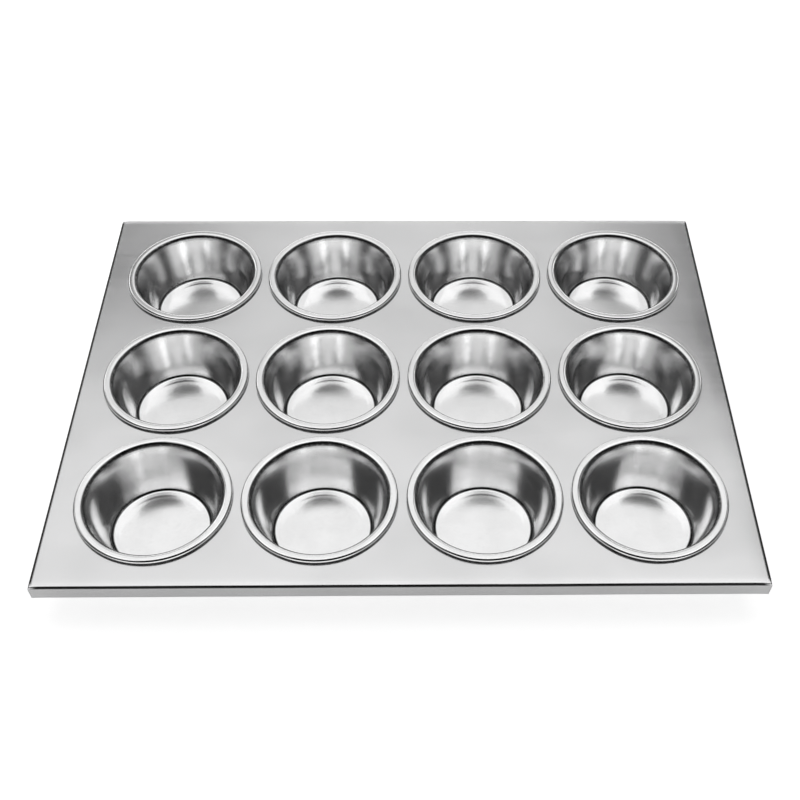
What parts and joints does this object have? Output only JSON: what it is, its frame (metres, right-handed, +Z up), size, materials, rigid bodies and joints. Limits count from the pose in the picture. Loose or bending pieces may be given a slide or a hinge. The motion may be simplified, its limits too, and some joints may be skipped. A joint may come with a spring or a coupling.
{
  "type": "muffin pan",
  "caption": "Rectangular aluminium muffin pan: a folded frame sheet with turned-down edges carries a grid of tapered drawn cups, each locked into its hole by a rolled rim.",
  "frame": {"origin": "under the middle of the pan, on the plane that the undersides of the cups stand on", "axes": "+X along the long side to the right, +Y from the front edge to the back edge, +Z up out of the cups' mouths"},
  "size_m": [0.3566, 0.2726, 0.0282],
  "materials": {
    "frame_aluminium": "satin mill finish",
    "cup_aluminium": "bright spun finish"
  },
  "bodies": {
    "root": {"frame_sheet": "frame_aluminium", "cup_front_1": "cup_aluminium", "cup_front_2": "cup_aluminium", "cup_front_3": "cup_aluminium", "cup_front_4": "cup_aluminium", "cup_middle_1": "cup_aluminium", "cup_middle_2": "cup_aluminium", "cup_middle_3": "cup_aluminium", "cup_middle_4": "cup_aluminium", "cup_back_1": "cup_aluminium", "cup_back_2": "cup_aluminium", "cup_back_3": "cup_aluminium", "cup_back_4": "cup_aluminium"}
  },
  "joints": []
}
